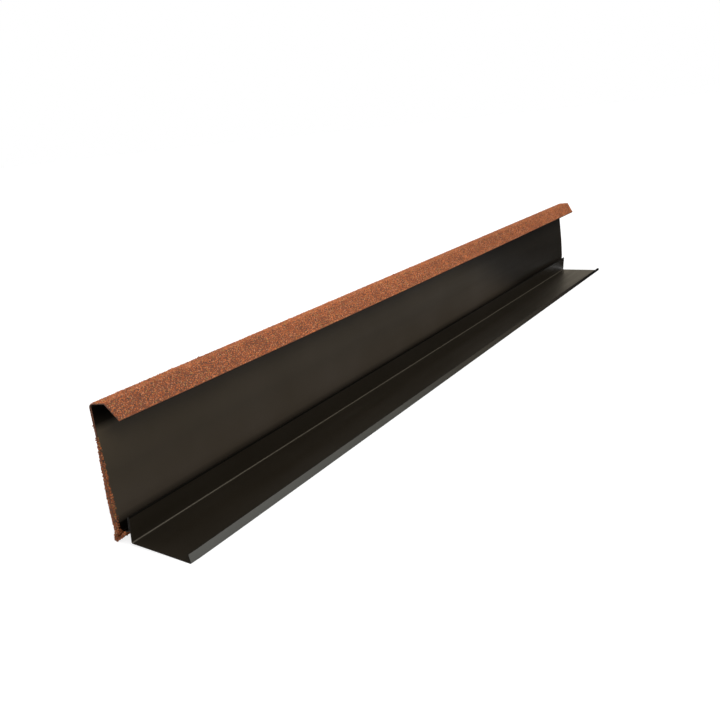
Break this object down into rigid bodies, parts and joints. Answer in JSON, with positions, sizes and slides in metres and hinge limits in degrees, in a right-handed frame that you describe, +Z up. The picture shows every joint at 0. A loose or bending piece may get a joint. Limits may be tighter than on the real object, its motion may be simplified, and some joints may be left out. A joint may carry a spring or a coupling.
{
  "type": "barge soaker",
  "caption": "Long folded steel roof-edge trim with a stone-coated barge face and top lip, a drip edge at its foot, and a hemmed rib and shallow gutter beside it.",
  "frame": {"origin": "centre of the bar's footprint, on the level ground that it stands on", "axes": "+X along the bar's length, +Y from the gutter towards the stone-coated barge face, +Z up"},
  "size_m": [1.25, 0.1002, 0.1447],
  "materials": {
    "painted_steel": "dark brown-black satin coil paint on steel sheet",
    "stone_granules": "rough terracotta stone granules bonded to the sheet"
  },
  "bodies": {
    "root": {"folded_sheet": "painted_steel", "stone_coat": "stone_granules"}
  },
  "joints": []
}
